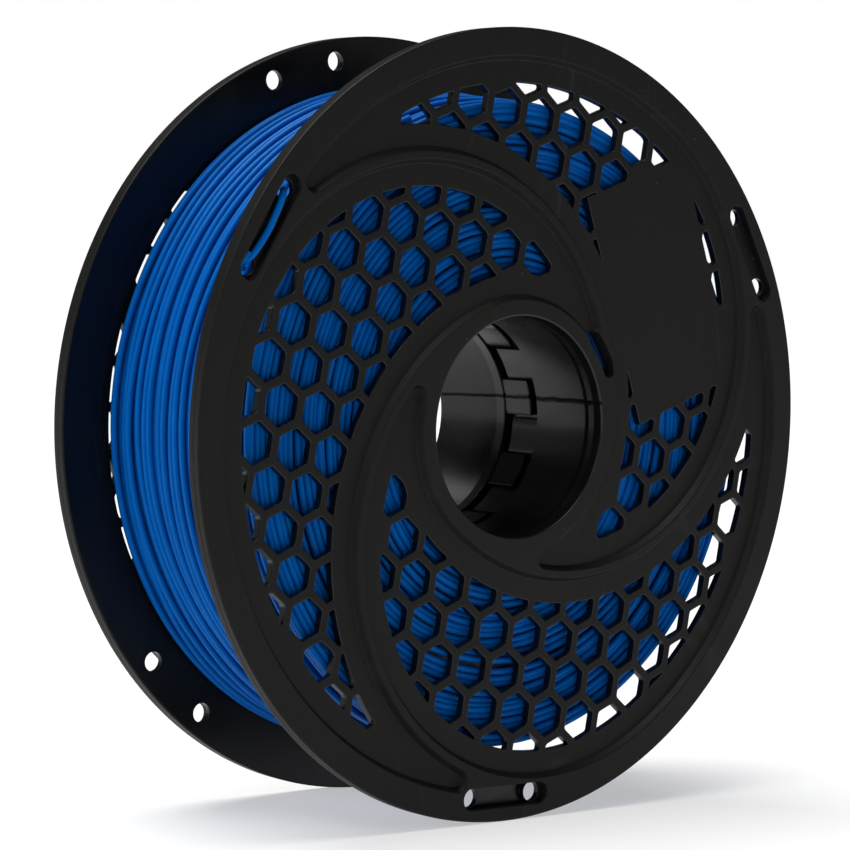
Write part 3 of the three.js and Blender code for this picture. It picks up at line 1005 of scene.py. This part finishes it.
class Nodes:
    """Builds one material's node tree."""

    def __init__(self, name):
        self.material = bpy.data.materials.new(name)
        self.material.use_nodes = True
        self.tree = self.material.node_tree
        self.shader = self.tree.nodes["Principled BSDF"]
        self.place = self.node("ShaderNodeTexCoord").outputs["Object"]

    def node(self, kind, settings=None, **inputs):
        made = self.tree.nodes.new(kind)
        for key, value in (settings or {}).items():
            setattr(made, key, value)
        for key, value in inputs.items():
            self.put(made.inputs[key.replace("_", " ")], value)
        return made

    def put(self, socket, value):
        if isinstance(value, bpy.types.NodeSocket):
            self.tree.links.new(value, socket)
        else:
            socket.default_value = value

    def shade(self, name, value):
        self.put(self.shader.inputs[name], value)

    def noise(self, scale, detail=2.0, roughness=0.5, distortion=0.0):
        made = self.node("ShaderNodeTexNoise", Scale=scale, Detail=detail, Roughness=roughness,
                         Distortion=distortion, Vector=self.place)
        return made.outputs["Fac"]

    def ranged(self, value, low, high, to_low, to_high):
        made = self.node("ShaderNodeMapRange")
        for key, number in (("Value", value), ("From Min", low), ("From Max", high),
                            ("To Min", to_low), ("To Max", to_high)):
            self.put(made.inputs[key], number)
        return made.outputs["Result"]

    def maths(self, operation, a, b=0.0):
        made = self.node("ShaderNodeMath", {"operation": operation})
        self.put(made.inputs[0], a)
        self.put(made.inputs[1], b)
        return made.outputs["Value"]

    def times(self, a, b):
        return self.maths("MULTIPLY", a, b)

    def blend(self, share, one, other):
        made = self.node("ShaderNodeMix", {"data_type": "RGBA"})
        self.put(made.inputs["Factor"], share)
        colours = [socket for socket in made.inputs if socket.type == "RGBA"]
        self.put(colours[0], one)
        self.put(colours[1], other)
        return [socket for socket in made.outputs if socket.type == "RGBA"][0]

    def clouded(self, clouds, one, other):
        return self.blend(self.ranged(clouds, 0.3, 0.7, 0.0, 1.0), one, other)

    def bump(self, height, strength, distance, normal=None):
        made = self.node("ShaderNodeBump", Strength=strength, Distance=distance, Height=height)
        if normal is not None:
            self.put(made.inputs["Normal"], normal)
        return made.outputs["Normal"]


def scratches(nodes, turn, scale, share):
    """Thin faint lines: long cells' edges, seen only here and there."""
    mapping = nodes.node("ShaderNodeMapping", Vector=nodes.place)
    mapping.inputs["Rotation"].default_value = (0, math.radians(turn), 0)
    mapping.inputs["Scale"].default_value = (1, 1, 0.12)
    bent = nodes.node("ShaderNodeTexVoronoi", {"feature": "DISTANCE_TO_EDGE"}, Scale=scale,
                      Vector=mapping.outputs["Vector"])
    line = nodes.ranged(bent.outputs["Distance"], 0.0, 0.006, 1.0, 0.0)
    patch = nodes.ranged(nodes.noise(38 + turn, 2.0), 0.62 - share, 0.66 - share, 0.0, 1.0)
    return nodes.times(line, patch)


def specks(nodes, scale, reach):
    """Single dust specks, in a few cells only."""
    cells = nodes.node("ShaderNodeTexVoronoi", {"feature": "F1"}, Scale=scale, Vector=nodes.place)
    spot = nodes.ranged(cells.outputs["Distance"], reach * 0.6, reach, 1.0, 0.0)
    chosen = nodes.node("ShaderNodeSeparateColor", Color=cells.outputs["Color"]).outputs["Red"]
    return nodes.times(spot, nodes.ranged(chosen, 0.93, 0.94, 0.0, 1.0))


def bore_reflection_line(nodes):
    """A thin wandering line along the bore, on one side only, for a painted dark reflection of an edge."""
    place = nodes.node("ShaderNodeSeparateXYZ", Vector=nodes.place).outputs
    wander = nodes.times(nodes.maths("SUBTRACT", nodes.noise(90, 3.0, 0.6), 0.5), 0.0016)
    height = nodes.maths("SUBTRACT", place["Z"], nodes.times(place["X"], BORE_REFLECTION_LINE_SLOPE))
    away = nodes.maths("ABSOLUTE", nodes.maths("ADD", height, wander))
    line = nodes.ranged(away, 0.0, BORE_REFLECTION_LINE_HALF_WIDTH * MM, 1.0, 0.0)
    side = nodes.ranged(place["X"], (BORE_RADIUS - 9) * MM, (BORE_RADIUS - 7) * MM, 0.0, 1.0)
    inside = nodes.ranged(place["X"], (BORE_RADIUS + 0.7) * MM, (BORE_RADIUS + 1.1) * MM, 1.0, 0.0)
    return nodes.times(line, nodes.times(side, inside))


def satin_moulding():
    """Black plastic from a finely spark-eroded mould: satin, with convex edges lightened by wear and by a
    painted highlight, and light marks.
    """
    nodes = Nodes("satin_moulding")
    clouds = nodes.noise(55, 3.0, 0.55)
    grain = nodes.noise(2700, 3.0, 0.65)
    marks = nodes.maths("MAXIMUM", scratches(nodes, 35, 60, 0.05), scratches(nodes, -55, 45, 0.03))
    dust = specks(nodes, 260, 0.07)
    # Convex edges, found by pointiness, are lightened: partly rubbed wear, partly a painted highlight where
    # the edges catch the light. The same mask also smooths them.
    edges = nodes.ranged(nodes.node("ShaderNodeNewGeometry").outputs["Pointiness"], 0.515, 0.56, 0.0, 1.0)
    edge_wear_and_highlight = nodes.times(edges, nodes.ranged(nodes.noise(240, 3.0), 0.35, 0.7, 0.2, 1.0))
    base = nodes.clouded(clouds, *SATIN_TONES)
    base = nodes.blend(nodes.ranged(grain, 0.38, 0.62, 0.0, 0.55), base, SATIN_GRAIN)
    edge_worn_and_lit = nodes.blend(nodes.times(edge_wear_and_highlight, 0.25), base, SATIN_EDGE_WEAR_AND_HIGHLIGHT)
    marked = nodes.blend(nodes.times(marks, 0.35), edge_worn_and_lit, SATIN_SCRATCHED)
    nodes.shade("Base Color", nodes.blend(nodes.times(dust, 0.6), marked, DUST))
    rough = nodes.ranged(clouds, 0.3, 0.7, 0.40, 0.50)
    nodes.shade("Roughness", nodes.maths("SUBTRACT", rough, nodes.times(edge_wear_and_highlight, 0.1)))
    nodes.shader.inputs["Specular IOR Level"].default_value = 0.13
    fine = nodes.bump(grain, 0.6, 0.00012)
    soft = nodes.bump(nodes.noise(90, 2.0), 0.12, 0.0003, fine)
    nodes.shade("Normal", nodes.bump(marks, 0.1, 0.00003, soft))
    return nodes.material


def polished_moulding():
    """The same plastic from the polished sides of the mould: the bore, the walls of the cells and
    tie holes, and the faces that meet the winding. It is glossy, with a faint ripple, handling
    marks and a painted dark reflection line along the bore."""
    nodes = Nodes("polished_moulding")
    clouds = nodes.noise(38, 3.0, 0.6)
    smears = nodes.noise(14, 4.0, 0.7, distortion=1.5)
    marks = nodes.maths("MAXIMUM", scratches(nodes, 20, 50, 0.08), scratches(nodes, -70, 40, 0.06))
    base = nodes.clouded(clouds, *POLISHED_TONES)
    nodes.shade("Base Color", nodes.blend(nodes.times(marks, 0.25), base, POLISHED_SCRATCHED))
    line = bore_reflection_line(nodes)
    nodes.shade("Roughness", nodes.ranged(smears, 0.35, 0.65, 0.20, 0.34))
    # Along the bore line the gloss drops almost to nothing and the surface sinks a little: a painted dark
    # reflection.
    nodes.shade("Specular IOR Level", nodes.ranged(line, 0.0, 1.0, 0.32, 0.03))
    ripple = nodes.bump(nodes.noise(70, 1.0), 0.10, 0.0004)
    sunk = nodes.bump(nodes.times(line, -1.0), 0.7, 0.0003, ripple)
    nodes.shade("Normal", nodes.bump(nodes.noise(3500, 2.0), 0.08, 0.00003, sunk))
    return nodes.material


def blue_filament():
    """Extruded PLA: satin, each strand a little different, with a faint drawn grain."""
    nodes = Nodes("blue_filament")
    strand = nodes.node("ShaderNodeAttribute", {"attribute_name": "strand"}).outputs["Fac"]
    clouds = nodes.noise(160, 3.0, 0.55)
    tone = nodes.maths("ADD", nodes.times(strand, 0.45), nodes.times(clouds, 0.55))
    nodes.shade("Base Color", nodes.blend(tone, *BLUE_TONES))
    nodes.shade("Roughness", nodes.ranged(nodes.noise(900, 2.0), 0.3, 0.7, 0.36, 0.48))
    nodes.shader.inputs["Specular IOR Level"].default_value = 0.3
    nodes.shader.inputs["Specular Tint"].default_value = (0.03, 0.45, 1.0, 1.0)
    grain = nodes.bump(nodes.noise(4800, 3.0, 0.6), 0.25, 0.00005)
    nodes.shade("Normal", nodes.bump(nodes.noise(620, 2.0), 0.15, 0.00012, grain))
    return nodes.material


def shaded_filament():
    """The turns under the top ones, painted a dark shaded blue for the little light that reaches them."""
    nodes = Nodes("shaded_filament")
    nodes.shade("Base Color", nodes.blend(nodes.noise(300, 2.0), *SHADED_BLUE_TONES))
    nodes.shader.inputs["Roughness"].default_value = 0.6
    return nodes.material


def floor_material():
    nodes = Nodes("pale_floor")
    nodes.shade("Base Color", nodes.blend(nodes.noise(3, 2.0), *FLOOR_TONES))
    nodes.shader.inputs["Emission Color"].default_value = (1, 1, 1, 1)
    nodes.shader.inputs["Emission Strength"].default_value = 0.45
    nodes.shader.inputs["Roughness"].default_value = 0.75
    return nodes.material


# ---- Stage, light and camera ----

CAMERA_PLACE = Vector((-0.4882, -0.5654, 0.0325))
CAMERA_FORWARD = Vector((0.6482, 0.7601, -0.0454))
CAMERA_UP = Vector((0.0, 0.0596, 0.9982))
LENS = 121.9
OVERHEAD_STRENGTH = 3.8
OVERHEAD_SPREAD = 50
WORLD_LIGHT = 0.06
FLOOR_RADIUS = 40.0


def make_camera():
    camera = linked("camera", bpy.data.cameras.new("camera"))
    camera.data.lens = LENS
    camera.data.clip_start = 0.01
    forward = CAMERA_FORWARD.normalized()
    right = forward.cross(CAMERA_UP).normalized()
    up = right.cross(forward)
    turn = Matrix((right, up, -forward)).transposed().to_4x4()
    camera.matrix_world = Matrix.Translation(CAMERA_PLACE) @ turn
    bpy.context.scene.camera = camera


def make_floor():
    """A wide pale disc under the rims."""
    work = bmesh.new()
    bmesh.ops.create_circle(work, cap_ends=True, radius=FLOOR_RADIUS, segments=96)
    mesh = bpy.data.meshes.new("floor")
    work.to_mesh(mesh)
    work.free()
    floor = add_object("floor", mesh, [floor_material()])
    floor.location.z = LOW[2]


def make_world():
    """White to the camera, and only a weak light on the object."""
    world = bpy.data.worlds.new("studio")
    world.use_nodes = True
    tree = world.node_tree
    background = tree.nodes["Background"]
    path = tree.nodes.new("ShaderNodeLightPath")
    mix = tree.nodes.new("ShaderNodeMix")
    mix.data_type = "FLOAT"
    tree.links.new(path.outputs["Is Camera Ray"], mix.inputs[0])
    mix.inputs[2].default_value = WORLD_LIGHT
    mix.inputs[3].default_value = 1.0
    tree.links.new(mix.outputs[0], background.inputs["Strength"])
    background.inputs["Color"].default_value = (1, 1, 1, 1)
    bpy.context.scene.world = world


def area_light(name, place, target, size, power):
    data = bpy.data.lights.new(name, "AREA")
    data.shape = "RECTANGLE"
    data.size, data.size_y = size
    data.energy = power
    light = linked(name, data)
    light.location = place
    light.rotation_euler = (Vector(target) - Vector(place)).to_track_quat("-Z", "Y").to_euler()


def make_lights():
    data = bpy.data.lights.new("overhead", "SUN")
    data.energy = OVERHEAD_STRENGTH
    data.angle = math.radians(OVERHEAD_SPREAD)
    overhead = linked("overhead", data)
    overhead.rotation_euler = (math.radians(-8), math.radians(-10), 0)
    area_light("key", (-1.5, -0.7, 0.9), (0, 0, 0), (0.9, 0.9), 7)
    area_light("side_strip", (-1.1, 0.35, 0.15), (0, 0, 0), (0.12, 0.9), 2)
    area_light("far_side", (-0.95, 1.1, 0.12), (0, 0, 0), (0.8, 0.8), 0.45)
    area_light("fill", (0.5, -1.6, 0.3), (0, 0, 0), (1.0, 1.0), 2.0)


# ---- The object ----

def main():
    bpy.context.scene.view_settings.view_transform = "Standard"
    make_camera()
    satin, polished, blue, shaded_blue = satin_moulding(), polished_moulding(), blue_filament(), shaded_filament()
    cells = panel_cells()
    front_teeth = {"middle": FRONT_TOOTH_CENTRE, "width": FRONT_TOOTH_ANGLE,
                   "outer": TOOTH_OUTER_RADIUS + 2 * CLEARANCE,
                   "low": -FRONT_TOOTH_TIP, "high": TOOTH_ROOT - FRONT_SLEEVE_END}
    rear_teeth = {"middle": 180 - REAR_TOOTH_CENTRE - REAR_TURN, "width": REAR_TOOTH_ANGLE,
                  "outer": TOOTH_OUTER_RADIUS,
                  "low": REAR_TOOTH_TIP - SPOOL_WIDTH,
                  "high": REAR_SLEEVE_END + TOOTH_ROOT - SPOOL_WIDTH}
    front = make_half("front_moulding", front_hub_path(), cells, front_teeth, in_front, [satin, polished])
    rear = make_half("rear_moulding", rear_hub_path(), cells, rear_teeth, in_rear, [satin, polished])
    winding = make_winding([blue])
    core = make_core([shaded_blue])
    tail = make_tail([blue])
    tail_end = make_tail_end([blue])
    start = make_start([blue])

    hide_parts("front_half")
    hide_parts("rear_half")
    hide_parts("filament_winding")
    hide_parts("filament_tail")
    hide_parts("filament_start")
    for piece in (front, winding, core, tail, tail_end, start):
        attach(piece, "front")
    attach(rear, "rear")

    make_floor()
    make_world()
    make_lights()


main()
